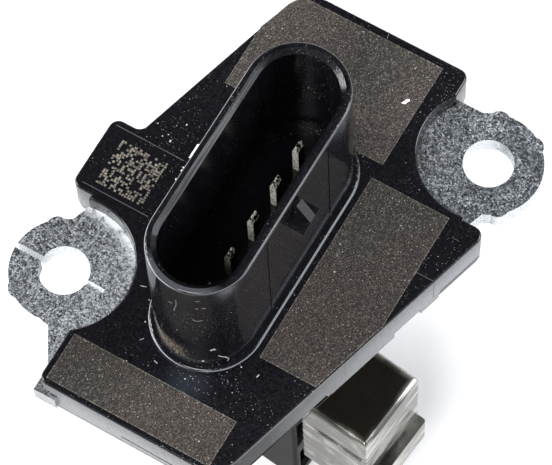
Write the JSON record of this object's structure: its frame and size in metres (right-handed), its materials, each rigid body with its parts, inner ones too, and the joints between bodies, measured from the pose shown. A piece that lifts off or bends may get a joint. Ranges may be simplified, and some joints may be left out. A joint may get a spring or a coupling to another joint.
{
  "type": "mass airflow sensor",
  "caption": "Plug-in mass airflow sensor: black flange with oval blade connector, plated steel ears, slim probe with bypass duct and a plated shield box.",
  "frame": {"origin": "midway between the two bolt holes, in the plane of the ears' underside", "axes": "+Z out of the duct wall towards the connector, +Y along the connector's row of blades, +X across it"},
  "size_m": [0.0484, 0.0578, 0.0964],
  "materials": {
    "black_plastic": "gloss",
    "zinc_steel": "mottled zinc",
    "tin": "satin",
    "seal_rubber": "matte",
    "nickel_sheet": "bright",
    "board_laminate": "satin",
    "resin": "satin",
    "chip_plastic": "matte",
    "ceramic": "satin",
    "silicon": "polished"
  },
  "bodies": {
    "root": {"flange_housing": "black_plastic", "mounting_plate": "zinc_steel", "probe_body": "black_plastic", "probe_cover": "black_plastic", "sealing_ring": "seal_rubber", "sealing_resin": "resin", "circuit_board": "board_laminate", "control_chip": "chip_plastic", "sensor_carrier": "ceramic", "sensor_chip": "silicon", "temperature_leads": "tin", "temperature_bead": "resin", "shield_lid": "nickel_sheet", "shield_tray": "nickel_sheet", "terminal_1": "tin", "terminal_2": "tin", "terminal_3": "tin", "terminal_4": "tin", "terminal_5": "tin", "capacitor_1": "ceramic", "capacitor_2": "ceramic", "capacitor_3": "ceramic", "capacitor_4": "ceramic"}
  },
  "joints": []
}
